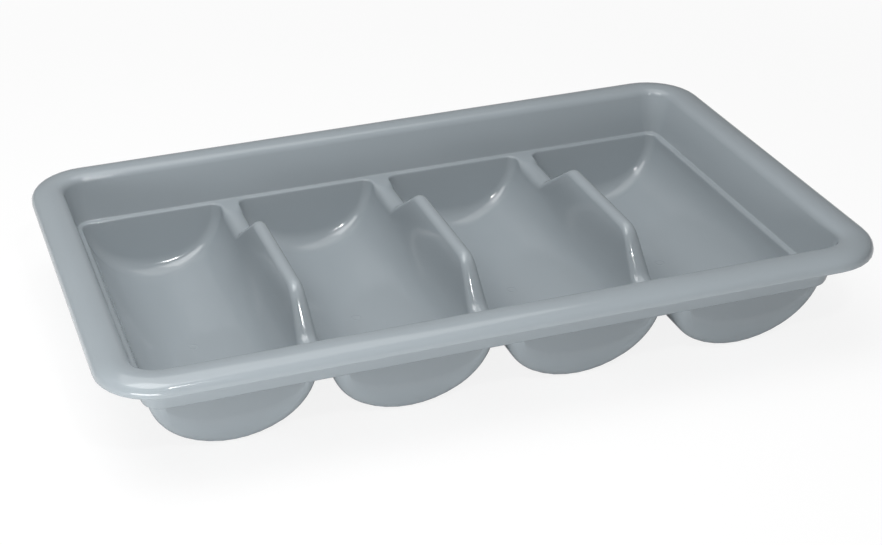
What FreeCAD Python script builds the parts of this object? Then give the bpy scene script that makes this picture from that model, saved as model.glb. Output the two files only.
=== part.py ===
import FreeCAD, Part
import math
import os

os.makedirs("parts", exist_ok=True)

# Four-compartment cutlery tray, one polypropylene moulding, built zone by zone.
# Millimetres. X runs along the long side, Y across, Z up from the lowest point of the troughs.

# overall size
length = 530.0
width = 325.0
height = 80.0
wall = 2.5                      # wall thickness everywhere

# rolled rim, section followed from the outer edge inwards
cornerRadius = 41.0             # plan radius of the rim's outer corners
lipStraight = 1.0               # upright part of the turned-down lip
shoulderRadius = 7.0            # outer round
shoulderHeading = 25.0          # degrees above level where the crown starts
crownRadius = 22.0              # broad convex top
crownHeading = -15.0            # degrees where the crown ends
rollRadius = 7.0                # inner round into the side wall
wallDraft = 13.0                # degrees off vertical of the side wall

# step between the side wall and the troughs
ledgeDrop = 33.8                # rim top down to the ledge
ledgeCove = 2.0                 # bevel at the back of the ledge
ledgeEdge = 1.5                 # bevel along the front edge of the ledge
ledgeInset = 34.0               # rim outer edge to the front edge of the ledge

# troughs
troughs = 4
dividerWidth = 14.0             # ledge between two troughs, at ledge level
sideDraft = 4.8                 # degrees off vertical, trough sides
endDraft = 13.75                # degrees off vertical, trough ends
floorRadius = 58.0              # flatter arc under the cutlery
floorSweep = 33.9               # degrees of it from the middle to where the tighter flank begins
troughFillet = cornerRadius - ledgeInset   # round where ends meet floor and sides

# dividers
dividerFoot = 41.0              # rim top down to where divider and trough walls part
footLand = 0.2                  # straight side left between that and the crest's round, at least
dividerDraft = 5.8              # degrees off vertical, divider sides
humpDrop = 4.0                  # rim top down to the raised part of the crest
frontLevel = 41.5               # trough end to the foot of the steep front slope
frontRun = 25.0                 # length of that slope in plan
backLevel = 52.5                # trough end to the foot of the long back slope
backRun = 44.0                  # length of that slope in plan
crestBlend = 14.0               # radius where the crest changes slope
crestRoundness = 0.93           # share of a full round across the crest
rootRun = 10.0                  # length over which the crest flattens into the ledge
rootEdge = 0.5                  # round left on the crest where it meets the ledge
hollowBevel = 0.8               # share of the hollow's half width bevelled off under the crest

# straight strips that stand for each round, to keep the surfaces few
filletSteps = 3                 # trough fillet
underSteps = 2                  # the same fillet underneath
bendSteps = 3                   # change of slope on a crest
rootSteps = 6                   # flattening of a crest

troughHalf = (length - 2 * ledgeInset - (troughs - 1) * dividerWidth) / (2 * troughs)
pitch = 2 * troughHalf + dividerWidth      # trough centre to trough centre
barHalf = dividerWidth / 2
ledgeZ = height - ledgeDrop
underZ = ledgeZ - wall          # underside of the ledge
footZ = height - dividerFoot
crestZ = height - humpDrop
draft, sweep = math.radians(sideDraft), math.radians(floorSweep)
sideTan, sideCos = math.tan(draft), math.cos(draft)
lean = math.radians(dividerDraft)
leanTan, leanCos = math.tan(lean), math.cos(lean)
endTan = math.tan(math.radians(endDraft))
endCos = math.cos(math.radians(endDraft))
endY = width / 2 - ledgeInset   # trough end at ledge level
rootY = endY - endTan * (ledgeZ - footZ) - troughFillet / endCos     # where trough corners begin, at footZ
centreZ = wall + floorRadius
reach = troughHalf * sideCos + (centreZ - ledgeZ) * math.sin(draft)  # floor arc's centre to the side
share = math.sin(sweep + draft)
flankRadius = (reach - floorRadius * share) / (1 - share)            # meets floor arc and side smoothly
flankX = (floorRadius - flankRadius) * math.sin(sweep)
flankZ = centreZ - (floorRadius - flankRadius) * math.cos(sweep)
footHalf = pitch / 2 - flankX - math.sqrt(flankRadius ** 2 - (flankZ - footZ) ** 2)
pinch = footHalf - leanTan * (ledgeZ - footZ) - barHalf              # what a divider narrows by at its roots
big = 2 * length                # reach of cutting blocks


def vec(x, y, z):
    return FreeCAD.Vector(x, y, z)


def trace(start, heading, steps, shift, flats=False):
    # Follows lines and arcs in the (inset, height) plane. shift moves the path to its right,
    # flats puts a chord in place of each arc.
    h = math.radians(heading)
    u = start[0] + shift * math.sin(h)
    z = start[1] - shift * math.cos(h)
    edges = []
    for kind, size, turn in steps:
        if kind == "line":
            nu, nz = u + size * math.cos(h), z + size * math.sin(h)
            edges.append(Part.makeLine(vec(u, 0, z), vec(nu, 0, nz)))
        else:
            # a negative turn bends to the right, where the material is
            side = -1.0 if turn < 0 else 1.0
            r = size + side * shift
            cu, cz = u - side * r * math.sin(h), z + side * r * math.cos(h)
            halfway, h = h + math.radians(turn) / 2, h + math.radians(turn)
            middle = vec(cu + side * r * math.sin(halfway), 0, cz - side * r * math.cos(halfway))
            nu, nz = cu + side * r * math.sin(h), cz - side * r * math.cos(h)
            if flats:
                edges.append(Part.makeLine(vec(u, 0, z), vec(nu, 0, nz)))
            else:
                edges.append(Part.Arc(vec(u, 0, z), middle, vec(nu, 0, nz)).toShape())
        u, z = nu, nz
    return edges, (u, z)


def fillOutline(edges):
    return Part.Face(Part.Wire(Part.__sortEdges__(edges)))


def joined(points):
    return [Part.makeLine(vec(p[0], 0, p[1]), vec(q[0], 0, q[1])) for p, q in zip(points, points[1:])]


def ring(face):
    # Sweeps a section drawn as (inset, 0, height) round the rounded rectangle of the rim.
    halfX, halfY = length / 2, width / 2
    runX, runY = length - 2 * cornerRadius, width - 2 * cornerRadius
    pieces = []
    for turn, half, run in ((0, halfX, runY), (90, halfY, runX), (180, halfX, runY), (270, halfY, runX)):
        side = face.copy()
        side.rotate(vec(0, 0, 0), vec(0, 0, 1), 180)      # inset now runs along -X
        side.translate(vec(half, -run / 2, 0))
        straight = side.extrude(vec(0, run, 0))
        corner = side.copy()
        corner.translate(vec(0, run, 0))
        bend = corner.revolve(vec(half - cornerRadius, run / 2, 0), vec(0, 0, 1), 90)
        for piece in (straight, bend):
            piece.rotate(vec(0, 0, 0), vec(0, 0, 1), turn)
            pieces.append(piece)
    return pieces[0].multiFuse(pieces[1:]).removeSplitter()


def slab(zLow, zHigh):
    # Cutting block over the whole plan between two heights.
    return Part.makeBox(2 * big, 2 * big, zHigh - zLow, vec(-big, -big, zLow))


def panSection():
    # Rim, side wall and ledge in one outline. Returns it with the height of the lip's lower edge.
    level = math.radians(shoulderHeading)
    rise = lipStraight + shoulderRadius * math.cos(level) + crownRadius * (1 - math.cos(level))
    lipZ = height - rise                       # so the crown just reaches full height
    tail = 90 - wallDraft
    rim = [("line", lipStraight, 0), ("arc", shoulderRadius, shoulderHeading - 90),
           ("arc", crownRadius, -shoulderHeading), ("arc", crownRadius, crownHeading),
           ("arc", rollRadius, -tail - crownHeading)]
    wallTop = trace((0, lipZ), 90, rim, 0)[1][1]
    coveRise = ledgeCove * (1 - math.cos(math.radians(tail)))
    run = (wallTop - ledgeZ - coveRise) / math.sin(math.radians(tail))
    steps, cove = rim + [("line", run, 0)], [("arc", ledgeCove, tail)]
    shown, wallEnd = trace((0, lipZ), 90, steps, 0)
    hidden, underEnd = trace((0, lipZ), 90, steps + cove, wall, True)
    foot, coveEnd = trace(wallEnd, -tail, cove, 0, True)
    level = ledgeInset - ledgeEdge - coveEnd[0]
    nose, noseEnd = trace(coveEnd, 0, [("line", level, 0), ("arc", ledgeEdge, -90)], 0, True)
    closing = joined([noseEnd, (noseEnd[0], underZ), underEnd]) + joined([(0, lipZ), (wall, lipZ)])
    return fillOutline(shown + foot + nose + hidden + closing), lipZ


def troughOutline(grow, inset, depth, side, topZ):
    # U-shaped outline of a trough, symmetric about X = 0, drawn in from its wall by inset. It lies on
    # a plane that leans as the end wall does, depth inside it. grow moves both outwards; side is 1 at
    # the back and -1 in front.
    r1, r2 = floorRadius + grow - inset, flankRadius + grow - inset
    mid = (sweep + math.pi / 2 - draft) / 2
    low = (r1 * math.sin(sweep), centreZ - r1 * math.cos(sweep))
    knee = (flankX + r2 * math.sin(mid), flankZ - r2 * math.cos(mid))
    high = (flankX + r2 * sideCos, flankZ - r2 * math.sin(draft))
    topX = high[0] + (topZ - high[1]) * sideTan
    floor = vec(0, 0, centreZ - r1)
    edges = [Part.Arc(vec(-low[0], 0, low[1]), floor, vec(low[0], 0, low[1])).toShape()]
    for m in (1, -1):
        bottom, top = vec(m * low[0], 0, low[1]), vec(m * high[0], 0, high[1])
        edges.append(Part.Arc(bottom, vec(m * knee[0], 0, knee[1]), top).toShape())
        edges.append(Part.makeLine(top, vec(m * topX, 0, topZ)))
    edges.append(Part.makeLine(vec(topX, 0, topZ), vec(-topX, 0, topZ)))
    baseY = endY + (grow - depth) / endCos - endTan * ledgeZ
    slope = FreeCAD.Matrix(1, 0, 0, 0, 0, 1, side * endTan, side * baseY, 0, 0, 1, 0, 0, 0, 0, 1)
    return Part.Wire(Part.__sortEdges__(edges)).transformGeometry(slope)


def troughBody(grow, steps):
    # Outlines joined from the front end to the back one, closing in round the fillet at both.
    r = troughFillet + grow
    turns = [math.pi / 2 * k / steps for k in range(steps + 1)]
    ways = [(-1, a) for a in reversed(turns)] + [(1, a) for a in turns]
    return Part.makeLoft([troughOutline(grow, r * (1 - math.cos(a)), r * (1 - math.sin(a)), side, height)
                          for side, a in ways], True, True)


def crestPoints(drop):
    # Crest line of a divider from front to back in (Y, Z), moved square to itself by drop.
    slopeFront, slopeBack = frontLevel - endY, endY - backLevel
    pts = [(-width, ledgeZ), (slopeFront, ledgeZ), (slopeFront + frontRun, crestZ),
           (slopeBack - backRun, crestZ), (slopeBack, ledgeZ), (width, ledgeZ)]
    angles = [math.atan2(b[1] - a[1], b[0] - a[0]) for a, b in zip(pts, pts[1:])]
    shifted = [(pts[0][0], pts[0][1] - drop)]
    for (y, z), a1, a2 in zip(pts[1:-1], angles, angles[1:]):
        half, k = (a1 + a2) / 2, drop / math.cos((a2 - a1) / 2)
        shifted.append((y + k * math.sin(half), z - k * math.cos(half)))
    return shifted + [(pts[-1][0], pts[-1][1] - drop)]


def crestBends(drop):
    # For each change of slope: start and end of the round, its centre and its signed radius.
    pts = crestPoints(drop)
    bends = []
    for (ya, za), (yb, zb), (yc, zc) in zip(pts, pts[1:], pts[2:]):
        a1, a2 = math.atan2(zb - za, yb - ya), math.atan2(zc - zb, yc - yb)
        side = 1.0 if a2 > a1 else -1.0
        r = crestBlend + side * drop
        cut = r * math.tan(abs(a2 - a1) / 2)
        y1, y2 = yb - cut * math.cos(a1), yb + cut * math.cos(a2)
        centre = (y1 - side * r * math.sin(a1), zb - cut * math.sin(a1) + side * r * math.cos(a1))
        bends.append((y1, y2, centre[0], centre[1], side * r))
    return bends


def crestHeight(drop, y):
    for y1, y2, cy, cz, r in crestBends(drop):
        if y1 <= y <= y2:
            return cz - math.copysign(math.sqrt(max(r ** 2 - (y - cy) ** 2, 0.0)), r)
    pts = crestPoints(drop)
    for (ya, za), (yb, zb) in zip(pts, pts[1:]):
        if ya <= y <= yb:
            return za + (zb - za) * (y - ya) / (yb - ya)


def stations():
    # Where a divider gets a section, as (Y, how far up to the hump's round, how far down to the ledge's edge).
    places = [(-rootY + rootRun * k / rootSteps, 0.0, 1.0 - k / rootSteps) for k in range(rootSteps + 1)]
    raised = ((0.0, 1.0), (1.0, 1.0), (1.0, 1.0), (1.0, 0.0))
    for (y1, y2, cy, cz, r), (before, after) in zip(crestBends(0), raised):
        for k in range(bendSteps + 1):
            part = k / bendSteps
            places.append((y1 + (y2 - y1) * part, before + (after - before) * part, 0.0))
    return places + [(rootY - rootRun * (1 - k / rootSteps), 0.0, k / rootSteps) for k in range(rootSteps + 1)]


def barSide(z, inwards):
    # Half width of a divider at height z, or of its hollow when inwards is the wall thickness.
    return footHalf + leanTan * (footZ - z) - inwards / leanCos


def fullRound(z):
    # Radius that just fills the divider between its drafted sides under a crest of height z.
    return barSide(z, 0) / (1 / leanCos - leanTan)


def crestCorner(place):
    # Outside of a divider at one station: foot, side end of the round, a point on it and its top end.
    y, raised, root = place
    topZ = crestHeight(0, y)
    low, high = fullRound(ledgeZ), fullRound(crestZ)
    room = (topZ - footZ - footLand) / (1 - math.sin(lean))
    r = min(room, max(rootEdge, crestRoundness * (low + (high - low) * raised) * (1 - root)))
    cx, cz = barSide(topZ - r, 0) - r / leanCos - pinch * root, topZ - r
    turn = (math.pi / 2 + lean) / 2
    side = (cx + r * leanCos, cz + r * math.sin(lean))
    return (footHalf, footZ), side, (cx + r * math.cos(turn), cz + r * math.sin(turn)), (cx, topZ)


def hollowCorner(place):
    # The same for the hollow inside, where a bevel takes the place of the round.
    topZ = crestHeight(wall, place[0])
    bevel = min(topZ - footZ - footLand, hollowBevel * barSide(crestZ - wall, wall))
    side = barSide(topZ - bevel, wall) - pinch * place[2]
    return (barSide(footZ, wall), footZ), (side, topZ - bevel), None, (side - bevel, topZ)


def roundEdge(y, m, corner):
    foot, side, turn, top = corner
    a, b = vec(m * side[0], y, side[1]), vec(m * top[0], y, top[1])
    return Part.Arc(a, vec(m * turn[0], y, turn[1]), b).toShape() if turn else Part.makeLine(a, b)


def flat(points):
    return Part.Face(Part.makePolygon(points + points[:1]))


def bar(cornerOf):
    # Closed skin over all stations: sides, top, ends and foot, with ruled strips round the crest.
    rows = [(place[0], cornerOf(place)) for place in stations()]
    pairs = list(zip(rows, rows[1:]))
    middle = rows[rootSteps:len(rows) - rootSteps]
    half = rows[0][1][0][0]
    ends = [y for y, corner in rows[:rootSteps + 1] + rows[-rootSteps - 1:]]
    faces = [flat([vec(half, y, footZ) for y in ends] + [vec(-half, y, footZ) for y in reversed(ends)])]
    for m in (1, -1):
        side = [vec(m * corner[1][0], y, corner[1][1]) for y, corner in middle]
        faces.append(flat(side + [vec(m * half, y, footZ) for y in (middle[-1][0], middle[0][0])]))
        for (y1, c1), (y2, c2) in pairs[:rootSteps] + pairs[-rootSteps:]:
            a, b = vec(m * half, y1, footZ), vec(m * half, y2, footZ)
            c, d = vec(m * c2[1][0], y2, c2[1][1]), vec(m * c1[1][0], y1, c1[1][1])
            faces += [flat([a, b, c]), flat([a, c, d])]
        rounds = [roundEdge(y, m, corner) for y, corner in rows]
        faces += [Part.makeRuledSurface(p, q) for p, q in zip(rounds, rounds[1:])]
    for (y1, c1), (y2, c2) in pairs:
        (x1, z1), (x2, z2) = c1[3], c2[3]
        faces.append(flat([vec(x1, y1, z1), vec(x2, y2, z2), vec(-x2, y2, z2), vec(-x1, y1, z1)]))
    for y, corner in (rows[0], rows[-1]):
        foot, side, turn, top = corner
        edges = [Part.makeLine(vec(-x, y, z), vec(x, y, z)) for x, z in (foot, top)]
        for m in (1, -1):
            edges.append(Part.makeLine(vec(m * foot[0], y, footZ), vec(m * side[0], y, side[1])))
            edges.append(roundEdge(y, m, corner))
        faces.append(fillOutline(edges))
    shell = Part.makeShell(faces)
    shell.sewShape()
    solid = Part.makeSolid(shell)
    if solid.Volume < 0:
        solid.reverse()
    return solid


def divider():
    return bar(crestCorner).cut(bar(hollowCorner)).removeSplitter()


def moved(shape, x):
    copy = shape.copy()
    copy.translate(vec(x, 0, 0))
    return copy


centres = [pitch * (i - (troughs - 1) / 2) for i in range(troughs)]
crests = [pitch * (i - troughs / 2) for i in range(1, troughs)]
parts = {}

# ring shaped zones: one section swept round, then parted level with the lip
section, lipZ = panSection()
pan = ring(section)
parts["rim"] = pan.common(slab(lipZ, height + wall))

# trough shells stop under the ledge, and at the divider foot where a divider takes over
cavity = troughBody(0.0, filletSteps)
shell = troughBody(wall, underSteps).common(slab(-wall, underZ)).cut(cavity)
claimHalf = barHalf + troughFillet
claim = Part.makeBox(2 * claimHalf, 2 * rootY, height, vec(-claimHalf, -rootY, footZ))
for i, x in enumerate(centres):
    body = moved(shell, x)
    for crest in crests:
        if abs(crest - x) < pitch:
            body = body.cut(moved(claim, crest))
    parts["trough_%d" % (i + 1)] = body

# side wall with its ledge, plus the webs of ledge between neighbouring trough corners
sideWall = pan.common(slab(0, lipZ))
webRun = endY - rootY + ledgeEdge + ledgeCove / 2      # from the divider's end to under the ring's ledge
for crest in crests:
    for start in (rootY, -rootY - webRun):
        web = Part.makeBox(2 * claimHalf, webRun, wall, vec(crest - claimHalf, start, underZ))
        for x in centres:
            if abs(crest - x) < pitch:
                web = web.cut(moved(cavity, x))
        sideWall = sideWall.fuse(web)
parts["side_wall"] = sideWall.removeSplitter()

crestBar = divider()
for i, x in enumerate(crests):
    parts["divider_%d" % (i + 1)] = moved(crestBar, x)

for name in sorted(parts):
    shape = parts[name]
    if shape.ShapeType != "Solid":
        shape = shape.Solids[0] if len(shape.Solids) == 1 else shape
    shape.exportStep("parts/%s.step" % name)
    state = "valid" if shape.isValid() else "INVALID"
    print(name, shape.ShapeType, len(shape.Solids), state, round(shape.Volume), len(shape.Faces))
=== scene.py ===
import math
import bpy
import bmesh
from mathutils import Matrix, Vector


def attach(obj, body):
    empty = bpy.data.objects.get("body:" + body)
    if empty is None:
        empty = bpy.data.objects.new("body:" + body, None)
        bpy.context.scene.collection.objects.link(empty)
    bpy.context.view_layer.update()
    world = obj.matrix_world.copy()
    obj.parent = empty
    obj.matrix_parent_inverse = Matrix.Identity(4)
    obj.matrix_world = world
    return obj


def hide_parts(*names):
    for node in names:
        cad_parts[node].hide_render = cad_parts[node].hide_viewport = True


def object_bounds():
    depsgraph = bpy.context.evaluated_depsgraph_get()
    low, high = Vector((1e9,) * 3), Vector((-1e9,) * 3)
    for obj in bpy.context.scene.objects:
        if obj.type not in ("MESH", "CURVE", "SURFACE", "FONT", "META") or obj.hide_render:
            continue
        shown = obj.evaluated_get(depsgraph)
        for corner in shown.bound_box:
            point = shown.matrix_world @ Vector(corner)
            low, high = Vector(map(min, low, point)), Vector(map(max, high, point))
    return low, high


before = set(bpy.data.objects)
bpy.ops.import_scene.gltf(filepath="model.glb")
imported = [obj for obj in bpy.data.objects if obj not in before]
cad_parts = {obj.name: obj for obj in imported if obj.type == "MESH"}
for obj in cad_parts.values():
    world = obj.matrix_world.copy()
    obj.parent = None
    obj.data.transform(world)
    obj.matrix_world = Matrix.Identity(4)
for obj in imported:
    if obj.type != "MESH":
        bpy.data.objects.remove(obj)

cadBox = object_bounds()
print("stage: frame loaded")

mm = 0.001


def hexToLinear(code, alpha=1.0):
    # sRGB hex to the linear values that shader sockets expect
    parts = [int(code[i:i + 2], 16) / 255 for i in (1, 3, 5)]
    return [c / 12.92 if c <= 0.04045 else ((c + 0.055) / 1.055) ** 2.4 for c in parts] + [alpha]


def addNode(tree, kind, settings=None, inputs=None):
    # one node with its settings; an input is a plain value, or a socket that gets linked
    node = tree.nodes.new(kind)
    for name, value in (settings or {}).items():
        setattr(node, name, value)
    for name, value in (inputs or {}).items():
        if isinstance(value, bpy.types.NodeSocket):
            tree.links.new(value, node.inputs[name])
        else:
            node.inputs[name].default_value = value
    return node


# camera: where the photograph was taken from, in metres and radians, with a lens and sensor in millimetres
camera = {
    "place": (-0.3652, -1.0037, 0.6179),
    "azimuth": -0.277,
    "elevation": 0.556,
    "roll": -0.035,
    "lens": 69.53,
    "sensor": 36.0,
    "shift": (0.1254, 0.1025),
}


def makeCamera(c):
    az, el, roll = c["azimuth"], c["elevation"], c["roll"]
    back = Vector((math.sin(az) * math.cos(el), -math.cos(az) * math.cos(el), math.sin(el)))
    right = Vector((0, 0, 1)).cross(back).normalized()
    up = back.cross(right)
    turnedRight = right * math.cos(roll) + up * math.sin(roll)
    turnedUp = up * math.cos(roll) - right * math.sin(roll)
    data = bpy.data.cameras.new("photoCamera")
    data.lens, data.sensor_width = c["lens"], c["sensor"]
    data.shift_x, data.shift_y = c["shift"]
    obj = bpy.data.objects.new("photoCamera", data)
    turn = Matrix((turnedRight, turnedUp, back)).transposed().to_4x4()
    obj.matrix_world = Matrix.Translation(Vector(c["place"])) @ turn
    bpy.context.scene.collection.objects.link(obj)
    bpy.context.scene.camera = obj


makeCamera(camera)
bpy.context.scene.view_settings.view_transform = "Standard"
print("stage: camera set")


# tray: millimetres and degrees. The length, width and height are the construction's own.
tray = {
    "length": round((cadBox[1][0] - cadBox[0][0]) / mm, 3),
    "width": round((cadBox[1][1] - cadBox[0][1]) / mm, 3),
    "height": round(cadBox[1][2] / mm, 3),
    "wall": 2.5,
    "cornerRadius": 41.0, "lipStraight": 1.0, "shoulderRadius": 7.0, "shoulderHeading": 25.0,
    "crownRadius": 22.0, "crownHeading": -15.0, "rollRadius": 7.0, "wallDraft": 13.0,
    "ledgeDrop": 33.8, "coveRadius": 1.4, "ledgeInset": 34.0, "edgeRadius": 2.1,
    "troughs": 4, "dividerWidth": 14.0, "sideDraft": 4.8, "endDraft": 13.75,
    "floorRadius": 58.0, "flankRadius": 46.0, "floorSweep": 33.9, "filletRadius": 7.0,
    "floorFillet": 16.0,        # the inner fillet opens out to this at the middle of the floor
    "humpDrop": 4.0, "frontLevel": 41.5, "frontRun": 25.0, "backLevel": 52.5, "backRun": 44.0,
    "crestBlend": 14.0, "crestRoundness": 0.96, "rootRun": 12.0,
    "underSeam": 31.2,          # plan inset where rim and troughs meet on the underside
    "lowWall": 66.0,            # way up the trough wall from its middle that is the same everywhere
    "weldGap": 0.01,            # points closer than this become one
}
# how many mesh rows or columns each stretch gets, and the widest gap between columns in millimetres
rows = {
    "floor": 4, "flank": 8, "upper": 4, "round": 6, "corner": 8, "bend": 5, "root": 6,
    "shoulder": 6, "crown": 5, "roll": 5, "cove": 3, "widestGap": 14.0,
}
halvings = 40                   # steps of the search for where a round takes over from a wall
endPull = 4                     # how late the columns along a side start to follow the end's lean

draft, sweep = math.radians(tray["sideDraft"]), math.radians(tray["floorSweep"])
endLean = math.radians(tray["endDraft"])
ledgeZ = tray["height"] - tray["ledgeDrop"]
crestZ = tray["height"] - tray["humpDrop"]
endY = tray["width"] / 2 - tray["ledgeInset"]
pitch = (tray["length"] - 2 * tray["ledgeInset"] + tray["dividerWidth"]) / tray["troughs"]
centreZ = tray["wall"] + tray["floorRadius"]
flankX = (tray["floorRadius"] - tray["flankRadius"]) * math.sin(sweep)
flankZ = centreZ - (tray["floorRadius"] - tray["flankRadius"]) * math.cos(sweep)
floorWay = tray["floorRadius"] * sweep
arcWay = floorWay + tray["flankRadius"] * (math.pi / 2 - draft - sweep)
halfLong, halfWide = tray["length"] / 2 - tray["cornerRadius"], tray["width"] / 2 - tray["cornerRadius"]


def eased(value):
    # held between 0 and 1, with a soft start and stop
    held = min(max(value, 0.0), 1.0)
    return held ** 2 * (3 - 2 * held)


def filletAt(way, grow):
    # inside, the fillet at a trough's end widens from its top corners down to the floor
    low = 0.0 if grow else eased(1 - way / tray["lowWall"])
    return tray["filletRadius"] + (tray["floorFillet"] - tray["filletRadius"]) * low


def wallAt(way, share, grow):
    # Point of a trough's wall and the normal into the trough. way runs from the middle of the floor up
    # the side, share is 0 on the side and 1 on the end wall with the rolling round between, and grow
    # moves the wall outwards.
    if way <= floorWay:
        x, z, radius, angle = 0.0, centreZ, tray["floorRadius"], way / tray["floorRadius"]
    else:
        x, z, radius = flankX, flankZ, tray["flankRadius"]
        angle = min(sweep + (way - floorWay) / radius, math.pi / 2 - draft)
    fillet = filletAt(way, grow)
    inset, extra = radius - fillet, max(way - arcWay, 0.0)
    x += inset * math.sin(angle) + extra * math.cos(angle)
    z += extra * math.sin(angle) - inset * math.cos(angle)
    y = endY - math.tan(endLean) * (ledgeZ - z) - fillet / math.cos(endLean)
    side = Vector((math.sin(angle), 0, -math.cos(angle)))
    out = side.slerp(Vector((0, math.cos(endLean), -math.sin(endLean))), share)
    return Vector((x, y, z)) + out * (fillet + grow), -out


def wayTo(top, radius, share, grow):
    # How far up the wall a round of that radius takes over, so that it ends level at height top.
    low, high = 0.0, arcWay + tray["height"]
    for step in range(halvings):
        way = (low + high) / 2
        point, normal = wallAt(way, share, grow)
        low, high = (way, high) if point.z < top - radius * (1 - normal.z) else (low, way)
    return low


sideEndY = wallAt(wayTo(ledgeZ, tray["edgeRadius"], 0, 0), 0, 0)[0].y


def crestBends(drop):
    # Rounds of a divider's crest line, moved down square to itself by drop: start and end in Y, centre
    # in Y and Z, and radius, which is positive where the crest turns upwards
    foot1, foot2 = tray["frontLevel"] - endY, endY - tray["backLevel"]
    line = [(-endY, ledgeZ), (foot1, ledgeZ), (foot1 + tray["frontRun"], crestZ),
            (foot2 - tray["backRun"], crestZ), (foot2, ledgeZ), (endY, ledgeZ)]
    turns = [math.atan2(b[1] - a[1], b[0] - a[0]) for a, b in zip(line, line[1:])]
    bends = []
    for (y, z), a1, a2 in zip(line[1:-1], turns, turns[1:]):
        side = 1.0 if a2 > a1 else -1.0
        cut = tray["crestBlend"] * math.tan(abs(a2 - a1) / 2)
        cy = y - cut * math.cos(a1) - side * tray["crestBlend"] * math.sin(a1)
        cz = z - cut * math.sin(a1) + side * tray["crestBlend"] * math.cos(a1)
        radius = side * tray["crestBlend"] + drop
        bends.append((cy + radius * math.sin(a1), cy + radius * math.sin(a2), cy, cz, radius))
    return bends


def crestAt(y, drop):
    # height of the crest line at y
    y0, z0 = -endY, ledgeZ - drop
    for y1, y2, cy, cz, radius in crestBends(drop):
        side = math.copysign(1.0, radius)
        z1 = cz - side * math.sqrt(radius ** 2 - (y1 - cy) ** 2)
        if y < y1:
            return z0 + (z1 - z0) * (y - y0) / (y1 - y0)
        if y <= y2:
            return cz - side * math.sqrt(radius ** 2 - (y - cy) ** 2)
        y0, z0 = y2, cz - side * math.sqrt(radius ** 2 - (y2 - cy) ** 2)
    return ledgeZ - drop


def crestRound(y):
    # Radius across the crest: full between the two walls, closing to the ledge's edge at the roots
    top = crestAt(y, 0)
    half = tray["dividerWidth"] / 2 - math.tan(draft) * (top - ledgeZ)
    full = half / (1 / math.cos(draft) - math.tan(draft))
    if top - full * (1 - math.sin(draft)) < flankZ - tray["flankRadius"] * math.sin(draft):
        across, rise = pitch / 2 - flankX, top - flankZ
        full = (across ** 2 + rise ** 2 - tray["flankRadius"] ** 2) / 2 / (tray["flankRadius"] + rise)
    grown = eased((sideEndY - abs(y)) / tray["rootRun"])
    return tray["edgeRadius"] + (tray["crestRoundness"] * full - tray["edgeRadius"]) * grown


def spread(start, end, count):
    # count even steps from start to end, both included
    return [start + (end - start) * k / count for k in range(count + 1)]


def stations():
    # Y places of the columns along a trough's side
    stops = spread(-sideEndY, tray["rootRun"] - sideEndY, rows["root"])
    for bend in crestBends(0):
        stops += spread(bend[0], bend[1], rows["bend"])
    stops += spread(sideEndY - tray["rootRun"], sideEndY, rows["root"])
    filled = [stops[0]]
    for stop in stops[1:]:
        count = max(1, math.ceil((stop - filled[-1]) / rows["widestGap"]))
        filled += spread(filled[-1], stop, count)[1:]
    return filled


def ways(last):
    # places up a trough's wall, the same ones everywhere up to lowWall, for the mesh rows
    low = spread(0.0, floorWay, rows["floor"]) + spread(floorWay, tray["lowWall"], rows["flank"])[1:]
    return low + spread(tray["lowWall"], last, rows["upper"])[1:]


def edgeRows(point, normal, radius, seam):
    # From the top of the wall over its round to the seam with the next mesh
    centre, up = point - normal * radius, Vector((0, 0, 1))
    arc = [centre + normal.slerp(up, share) * radius for share in spread(0.0, 1.0, rows["round"])]
    return arc + [Vector((seam[0], seam[1], centre.z + radius))]


def rimRows():
    # Rim, side wall and ledge as (inset, height, heading), from the lip's lower edge to the ledge
    level = math.radians(tray["shoulderHeading"])
    rise = tray["lipStraight"] + tray["shoulderRadius"] * math.cos(level)
    u, z, heading = 0.0, tray["height"] - rise - tray["crownRadius"] * (1 - math.cos(level)), math.pi / 2
    found = [(u, z, heading)]

    def run(length):
        nonlocal u, z
        u, z = u + length * math.cos(heading), z + length * math.sin(heading)
        found.append((u, z, heading))

    def bend(radius, end, count):
        nonlocal u, z, heading
        turn = math.radians(end) - heading
        side = math.copysign(1.0, turn)
        cu, cz = u - side * radius * math.sin(heading), z + side * radius * math.cos(heading)
        for angle in spread(heading, heading + turn, count)[1:]:
            found.append((cu + side * radius * math.sin(angle), cz - side * radius * math.cos(angle), angle))
        u, z, heading = found[-1]

    steep = tray["wallDraft"] - 90
    run(tray["lipStraight"])
    bend(tray["shoulderRadius"], tray["shoulderHeading"], rows["shoulder"])
    bend(tray["crownRadius"], 0, rows["crown"])
    bend(tray["crownRadius"], tray["crownHeading"], rows["crown"])
    bend(tray["rollRadius"], steep, rows["roll"])
    coveRise = tray["coveRadius"] * (1 - math.cos(heading))
    run((z - ledgeZ - coveRise) / -math.sin(heading))
    bend(tray["coveRadius"], 0, rows["cove"])
    return found


def seamInset(drop):
    # plan inset where the rim's patches meet the troughs' patches
    return tray["underSeam"] if drop else rimRows()[-1][0]


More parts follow.
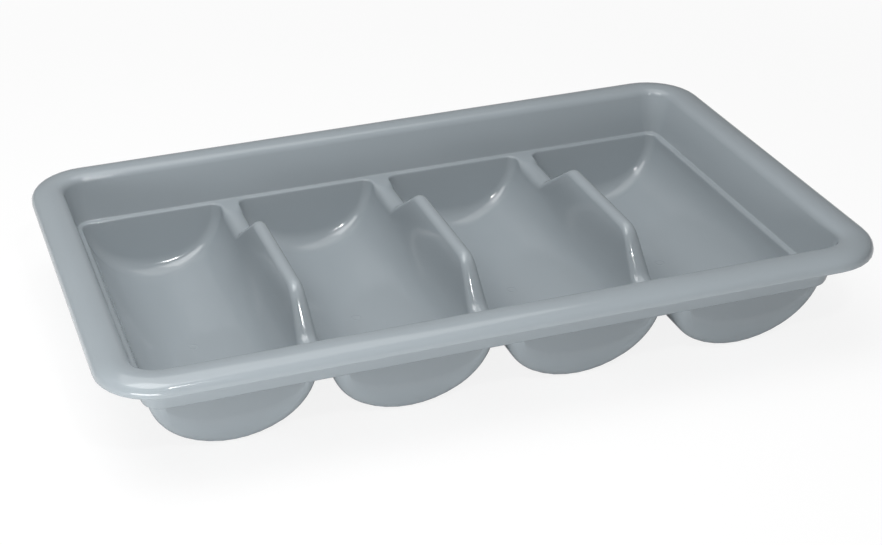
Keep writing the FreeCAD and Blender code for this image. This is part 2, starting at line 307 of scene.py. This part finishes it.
def halfTrough(drop, crest):
    # Patches of the half trough at +X, with half a divider beside it if crest, else the end ledge.
    # Each patch is a list of columns of points. drop is 0 on top and the wall thickness underneath.
    edge, level, seam = max(tray["edgeRadius"] - drop, 0.0), ledgeZ - drop, seamInset(drop)
    seamX = pitch / 2 if crest else tray["length"] / 2 - seam - pitch * (tray["troughs"] - 1) / 2
    seamY = tray["width"] / 2 - seam
    side, sideEdge = [], []
    for y in stations():
        top, radius = (crestAt(y, drop), max(crestRound(y) - drop, 0.0)) if crest else (level, edge)
        column = []
        for way in ways(wayTo(top, radius, 0, drop)):
            point, normal = wallAt(way, 0, drop)
            point.y = y - math.copysign(max(sideEndY - point.y, 0.0) * (abs(y) / sideEndY) ** endPull, y)
            column.append(point)
        side.append(column)
        sideEdge.append(edgeRows(point, normal, radius, (seamX, y)))
    corner, cornerEdge = [], []
    for share in spread(0.0, 1.0, rows["corner"]):
        column = [wallAt(way, share, drop) for way in ways(wayTo(level, edge, share, drop))]
        corner.append([point for point, normal in column])
        cornerEdge.append(column[-1])
    lastX = corner[-1][-1].x
    for k, share in enumerate(spread(0.0, 1.0, rows["corner"])):
        if share in (0.0, 1.0):
            place = (lastX, seamY) if share else (seamX, sideEndY)
        elif not crest:
            turn, reach = share * math.pi / 2, tray["cornerRadius"] - seam
            place = (seamX - reach * (1 - math.cos(turn)), halfWide + reach * math.sin(turn))
        elif share <= 0.5:
            place = (seamX, sideEndY + (seamY - sideEndY) * 2 * share)
        else:
            place = (seamX + (lastX - seamX) * (2 * share - 1), seamY)
        cornerEdge[k] = edgeRows(*cornerEdge[k], edge, place)
    top = corner[-1][-1]
    normal = Vector((0, -math.cos(endLean), math.sin(endLean)))
    end = [[point, Vector((point.x, top.y, top.z))] for point in corner[-1]]
    endEdge = [edgeRows(column[-1], normal, edge, (column[-1].x, seamY)) for column in end]
    patches = {"side": side, "sideEdge": sideEdge}
    ending = {"Corner": corner, "CornerEdge": cornerEdge, "End": end, "EndEdge": endEdge}
    for sign, where in ((1, "back"), (-1, "front")):
        for name, patch in ending.items():
            patches[where + name] = [[Vector((p.x, sign * p.y, p.z)) for p in column] for column in patch]
    return patches


def rimPatch(drop, endPatches, dividerPatches):
    # The rim, side wall and ledge, with columns at the places where the troughs' columns end
    flat = [band[-1] for band in dividerPatches["backEndEdge"]]
    turned = [band[-1] for band in reversed(dividerPatches["backCornerEdge"][:-1])]
    seamY = max(p.y for p in flat)
    inner = [p.x for p in flat + [p for p in turned if p.y > seamY - tray["weldGap"]]]
    outer = [band[-1].x for band in endPatches["backEndEdge"]]
    xs = []
    for i in range(tray["troughs"]):
        centre = pitch * (i - (tray["troughs"] - 1) / 2)
        left, right = outer if i == 0 else inner, outer if i == tray["troughs"] - 1 else inner
        found = [centre - x for x in reversed(left)] + [centre + x for x in right[1:]]
        xs += found[1:] if xs else found
    ys = [band[-1].y for band in endPatches["sideEdge"]]
    turns = spread(0.0, math.pi / 2, rows["corner"])[1:-1]
    columns = []
    for sx, sy, places in ((1, 1, ys), (-1, -1, ys[::-1])):
        # half way round, then the other half, with the right end's places again at the left
        columns += [((sx * x, -sy * halfWide), (0, -sy)) for x in xs]
        columns += [((sx * halfLong, -sy * halfWide), (sx * math.sin(a), -sy * math.cos(a))) for a in turns]
        columns += [((sx * halfLong, y), (sx, 0)) for y in places]
        columns += [((sx * halfLong, sy * halfWide), (sx * math.cos(a), sy * math.sin(a))) for a in turns]
    patch = []
    for (cx, cy), (dx, dy) in columns + columns[:1]:
        column = []
        for u, z, heading in rimRows():
            inset = u + drop * math.sin(heading)
            reach = tray["cornerRadius"] - min(inset, seamInset(drop))
            column.append(Vector((cx + dx * reach, cy + dy * reach, z - drop * math.cos(heading))))
        patch.append(column)
    return patch


def patchMesh(name, patches):
    # an object with a grid of quads for each patch, in metres
    points, faces = [], []
    for patch in patches:
        base, height = len(points), len(patch[0])
        points += [tuple(p * mm) for column in patch for p in column]
        for i in range(len(patch) - 1):
            for a in range(base + i * height, base + (i + 1) * height - 1):
                faces.append((a, a + height, a + height + 1, a + 1))
    mesh = bpy.data.meshes.new(name)
    mesh.from_pydata(points, [], faces)
    obj = bpy.data.objects.new(name, mesh)
    bpy.context.scene.collection.objects.link(obj)
    return obj


def mapped(patches, change):
    # the same patches with every point changed
    return [[[change(p) for p in column] for column in patch] for patch in patches]


def growTray(dividerUnit, endUnit, rimUnit, material):
    # Geometry Nodes: a divider unit on each line between troughs, an end unit and its mirror image at
    # the ends and the rim round them, welded into one moulding
    tree = bpy.data.node_groups.new("trayMoulding", "GeometryNodeTree")
    face = tree.interface
    sockets = {}
    for name, kind in {
            "Divider Unit": "Object", "End Unit": "Object", "Rim": "Object", "Dividers": "Int",
            "Pitch": "Float", "Weld Distance": "Float", "Finish": "Material"}.items():
        socket = face.new_socket(name=name, in_out="INPUT", socket_type="NodeSocket" + kind)
        sockets[name] = socket.identifier
    face.new_socket(name="Geometry", in_out="OUTPUT", socket_type="NodeSocketGeometry")
    given = addNode(tree, "NodeGroupInput").outputs
    units = {}
    for name in ("Divider Unit", "End Unit", "Rim"):
        unit = addNode(tree, "GeometryNodeObjectInfo", inputs={"Object": given[name]})
        units[name] = unit.outputs["Geometry"]

    # two rows of points along X: one for the dividers, one from the right end to the left
    index = addNode(tree, "GeometryNodeInputIndex").outputs["Index"]
    along = {"Dividers": given["Dividers"], "Pitch": given["Pitch"], "Index": index}
    for name, operation, *values in (
            ("gaps", "SUBTRACT", "Dividers", 1.0),
            ("span", "MULTIPLY", "gaps", "Pitch"),
            ("firstX", "MULTIPLY", "span", -0.5),
            ("width", "MULTIPLY", "Dividers", "Pitch"),
            ("endX", "MULTIPLY", "width", 0.5),
            ("acrossX", "MULTIPLY", "width", -1.0),
            ("back", "MULTIPLY", "Index", 2.0),
            ("hand", "SUBTRACT", 1.0, "back")):
        # a value is a number, or the name of an earlier result
        inputs = {slot: along.get(value, value) for slot, value in enumerate(values)}
        along[name] = addNode(tree, "ShaderNodeMath", {"operation": operation}, inputs).outputs[0]
    vectors = {}
    for name in ("firstX", "Pitch", "endX", "acrossX"):
        vectors[name] = addNode(tree, "ShaderNodeCombineXYZ", inputs={"X": along[name]}).outputs["Vector"]
    mirror = addNode(tree, "ShaderNodeCombineXYZ", inputs={"X": along["hand"], "Y": 1.0, "Z": 1.0})
    line = addNode(tree, "GeometryNodeMeshLine", {"mode": "OFFSET"}, {
        "Count": given["Dividers"], "Start Location": vectors["firstX"], "Offset": vectors["Pitch"]})
    dividers = addNode(tree, "GeometryNodeInstanceOnPoints", inputs={
        "Points": line.outputs["Mesh"], "Instance": units["Divider Unit"]})
    ends = addNode(tree, "GeometryNodeMeshLine", {"mode": "OFFSET"}, {
        "Count": 2, "Start Location": vectors["endX"], "Offset": vectors["acrossX"]})
    halves = addNode(tree, "GeometryNodeInstanceOnPoints", inputs={
        "Points": ends.outputs["Mesh"], "Instance": units["End Unit"], "Scale": mirror.outputs["Vector"]})
    join = addNode(tree, "GeometryNodeJoinGeometry")
    for socket in (dividers.outputs["Instances"], halves.outputs["Instances"], units["Rim"]):
        tree.links.new(socket, join.inputs["Geometry"])
    real = addNode(tree, "GeometryNodeRealizeInstances", inputs={"Geometry": join.outputs["Geometry"]})
    weld = addNode(tree, "GeometryNodeMergeByDistance", inputs={
        "Geometry": real.outputs["Geometry"], "Distance": given["Weld Distance"]})
    smooth = addNode(tree, "GeometryNodeSetShadeSmooth", inputs={"Geometry": weld.outputs["Geometry"]})
    paint = addNode(tree, "GeometryNodeSetMaterial", inputs={
        "Geometry": smooth.outputs["Geometry"], "Material": given["Finish"]})
    addNode(tree, "NodeGroupOutput", inputs={"Geometry": paint.outputs["Geometry"]})

    host = bpy.data.objects.new("trayHost", bpy.data.meshes.new("trayHost"))
    bpy.context.scene.collection.objects.link(host)
    grower = host.modifiers.new("trayMoulding", "NODES")
    grower.node_group = tree
    for name, value in {
            "Divider Unit": dividerUnit, "End Unit": endUnit, "Rim": rimUnit,
            "Dividers": tray["troughs"] - 1, "Pitch": pitch * mm,
            "Weld Distance": tray["weldGap"] * mm, "Finish": material}.items():
        grower[sockets[name]] = value
    bpy.context.view_layer.update()
    mesh = bpy.data.meshes.new_from_object(host.evaluated_get(bpy.context.evaluated_depsgraph_get()))
    mesh.name = "cutleryTray"
    for obj in (host, dividerUnit, endUnit, rimUnit):
        bpy.data.objects.remove(obj)
    return mesh


def makeTray(material):
    # top and underside come from the same patches, the second ones a wall's thickness further out
    dividerSides, endSides, rim = [], [], []
    for drop in (0.0, tray["wall"]):
        divider, end = halfTrough(drop, True), halfTrough(drop, False)
        dividerSides += divider.values()
        endSides += end.values()
        rim.append(rimPatch(drop, end, divider))
    lip = [[under[0], top[0]] for top, under in zip(*rim)]
    left = mapped(dividerSides, lambda p: Vector((p.x - pitch / 2, p.y, p.z)))
    right = mapped(left, lambda p: Vector((-p.x, p.y, p.z)))
    mesh = growTray(patchMesh("dividerUnit", left + right), patchMesh("endUnit", endSides),
                    patchMesh("rimUnit", rim + [lip]), material)
    # one closed skin, wound outwards
    skin = bmesh.new()
    skin.from_mesh(mesh)
    bmesh.ops.recalc_face_normals(skin, faces=skin.faces)
    for vert in skin.verts:
        # no rounding error past the construction's own box
        vert.co = Vector([min(max(c, low), high) for c, low, high in zip(vert.co, *cadBox)])
    skin.to_mesh(mesh)
    skin.free()
    obj = bpy.data.objects.new("cutleryTray", mesh)
    bpy.context.scene.collection.objects.link(obj)
    return obj


# Injection-moulded polypropylene: the polished mould leaves a gloss that draws each lamp as a thin
# bright line along the rounds, shrinkage leaves the flat walls in slow waves, and the melt leaves a
# ring where it came in, in the middle of each trough's floor. Sizes are in millimetres.
polypropylene = {
    "colour": "#969ea3",
    "roughness": 0.10,
    "roughnessSpread": 0.03,
    "ior": 1.49,
    "grainSpacing": 1.43,       # the mould's fine texture, drawn coarser than it is so that it shows
    "grainDetail": 2.0,
    "grainDepth": 0.012,
    "waveSpacing": 62.5,
    "waveDepth": 1.2,
    "gateY": 1.0,
    "gateRadius": 3.0,
    "gateWidth": 0.9,           # from the middle of the ring's line to either edge
    "gateDepth": 0.18,
}


def makePolypropylene(p):
    mat = bpy.data.materials.new("mouldedPolypropylene")
    mat.use_nodes = True
    tree = mat.node_tree
    tree.nodes.clear()
    place = addNode(tree, "ShaderNodeTexCoord").outputs["Object"]

    # X is folded back into one trough, so that each trough has its gate
    apart = addNode(tree, "ShaderNodeSeparateXYZ", inputs={"Vector": place}).outputs
    gate = {"x": apart["X"], "y": apart["Y"]}
    for name, operation, *values in (
            ("folded", "PINGPONG", "x", pitch * mm / 2),
            ("besideX", "SUBTRACT", pitch * mm / 2, "folded"),
            ("besideY", "SUBTRACT", "y", p["gateY"] * mm),
            ("squareX", "MULTIPLY", "besideX", "besideX"),
            ("squareY", "MULTIPLY", "besideY", "besideY"),
            ("square", "ADD", "squareX", "squareY"),
            ("away", "SQRT", "square"),
            ("beyond", "SUBTRACT", "away", p["gateRadius"] * mm),
            ("fromRing", "ABSOLUTE", "beyond")):
        inputs = {slot: gate.get(value, value) for slot, value in enumerate(values)}
        gate[name] = addNode(tree, "ShaderNodeMath", {"operation": operation}, inputs).outputs[0]
    ring = addNode(tree, "ShaderNodeMapRange", {"interpolation_type": "SMOOTHSTEP"}, {
        "Value": gate["fromRing"], "From Max": p["gateWidth"] * mm, "To Min": 1.0, "To Max": 0.0})
    grain = addNode(tree, "ShaderNodeTexNoise", inputs={
        "Vector": place, "Scale": 1 / (p["grainSpacing"] * mm), "Detail": p["grainDetail"]})
    wave = addNode(tree, "ShaderNodeTexNoise", inputs={
        "Vector": place, "Scale": 1 / (p["waveSpacing"] * mm), "Detail": 0.0})

    # waves, gate marks and grain, each laid over the one before
    normal = {}
    for depth, height in (("waveDepth", wave.outputs["Fac"]), ("gateDepth", ring.outputs["Result"]),
                          ("grainDepth", grain.outputs["Fac"])):
        bump = addNode(tree, "ShaderNodeBump", inputs={
            "Distance": p[depth] * mm, "Height": height, **normal})
        normal = {"Normal": bump.outputs["Normal"]}
    gloss = addNode(tree, "ShaderNodeMapRange", inputs={
        "Value": wave.outputs["Fac"], "To Min": p["roughness"] - p["roughnessSpread"],
        "To Max": p["roughness"] + p["roughnessSpread"]})
    shader = addNode(tree, "ShaderNodeBsdfPrincipled", inputs={
        "Base Color": hexToLinear(p["colour"]), "IOR": p["ior"],
        "Roughness": gloss.outputs["Result"], **normal})
    addNode(tree, "ShaderNodeOutputMaterial", inputs={"Surface": shader.outputs["BSDF"]})
    return mat


trayPiece = makeTray(makePolypropylene(polypropylene))
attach(trayPiece, "root")
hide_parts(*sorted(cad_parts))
print("stage: tray made")


# studio: a white sweep, softboxes overhead and on the left, a low strip in front, two small flash heads.
# Metres and watts.
studio = {
    "floorSize": 8.0,
    "paper": "#fafafa",
    "white": "#ffffff",
    "floorGlow": 0.86,          # share of the floor that the camera sees as plain white near the tray
    "shadowReach": 0.45,        # from this far out the floor turns white
    "plainFrom": 1.3,           # and from here it is plain white, so that no edge shows
    "roomLight": 0.19,          # strength of the room's own light; the camera sees plain white instead
    "lamps": {
        "overheadSoftbox": {
            "place": (-0.25, 0.1, 1.35), "aim": (-0.1, 0, 0), "size": (1.5, 1.3), "power": 10.5},
        "leftSoftbox": {
            "place": (-0.4, -0.15, 0.85), "aim": (-0.2, -0.05, 0), "size": (0.5, 0.5), "power": 3.2},
        "lowFrontStrip": {
            "place": (-0.75, -0.95, 0.13), "aim": (-0.1, -0.15, 0.05), "size": (0.8, 0.2), "power": 7.3},
        "flashLeft": {
            "place": (-0.15, -0.93, 1.04), "aim": (0, 0, 0), "size": (0.04, 0.02), "power": 1.9},
        "flashRight": {
            "place": (-0.07, -0.93, 1.04), "aim": (0, 0, 0), "size": (0.025, 0.02), "power": 1.25},
    },
}


def makeFloor(s):
    # matt paper: it keeps the tray's soft shadow and mirrors nothing
    half = s["floorSize"] / 2
    corners = [(-half, -half, 0), (half, -half, 0), (half, half, 0), (-half, half, 0)]
    mesh = bpy.data.meshes.new("floor")
    mesh.from_pydata(corners, [], [(0, 1, 2, 3)])
    obj = bpy.data.objects.new("floor", mesh)
    bpy.context.scene.collection.objects.link(obj)
    mat = bpy.data.materials.new("whiteSweepPaper")
    mat.use_nodes = True
    tree = mat.node_tree
    tree.nodes.clear()
    seen = addNode(tree, "ShaderNodeLightPath").outputs["Is Camera Ray"]
    place = addNode(tree, "ShaderNodeTexCoord").outputs["Object"]
    away = addNode(tree, "ShaderNodeVectorMath", {"operation": "LENGTH"}, {0: place}).outputs["Value"]
    plain = addNode(tree, "ShaderNodeMapRange", {"interpolation_type": "SMOOTHSTEP"}, {
        "Value": away, "From Min": s["shadowReach"], "From Max": s["plainFrom"],
        "To Min": s["floorGlow"], "To Max": 1.0}).outputs["Result"]
    share = addNode(tree, "ShaderNodeMath", {"operation": "MULTIPLY"}, {0: seen, 1: plain})
    paper = addNode(tree, "ShaderNodeBsdfDiffuse", inputs={"Color": hexToLinear(s["paper"])})
    glow = addNode(tree, "ShaderNodeEmission", inputs={"Color": hexToLinear(s["white"]), "Strength": 1.0})
    mix = addNode(tree, "ShaderNodeMixShader", inputs={
        "Fac": share.outputs[0], 1: paper.outputs["BSDF"], 2: glow.outputs["Emission"]})
    addNode(tree, "ShaderNodeOutputMaterial", inputs={"Surface": mix.outputs["Shader"]})
    obj.data.materials.append(mat)


def makeLamp(name, lamp):
    data = bpy.data.lights.new(name, "AREA")
    data.shape = "RECTANGLE"
    data.size, data.size_y = lamp["size"]
    data.energy = lamp["power"]
    obj = bpy.data.objects.new(name, data)
    obj.location = lamp["place"]
    obj.rotation_euler = (Vector(lamp["aim"]) - obj.location).to_track_quat("-Z", "Y").to_euler()
    bpy.context.scene.collection.objects.link(obj)


def makeRoom(s):
    room = bpy.data.worlds.new("studio")
    bpy.context.scene.world = room
    room.use_nodes = True
    tree = room.node_tree
    tree.nodes.clear()
    seen = addNode(tree, "ShaderNodeLightPath").outputs["Is Camera Ray"]
    strength = addNode(tree, "ShaderNodeMapRange", inputs={
        "Value": seen, "To Min": s["roomLight"], "To Max": 1.0})
    light = addNode(tree, "ShaderNodeBackground", inputs={
        "Color": hexToLinear(s["white"]), "Strength": strength.outputs["Result"]})
    addNode(tree, "ShaderNodeOutputWorld", inputs={"Surface": light.outputs["Background"]})


makeFloor(studio)
for name, lamp in studio["lamps"].items():
    makeLamp(name, lamp)
makeRoom(studio)
print("stage: studio set")
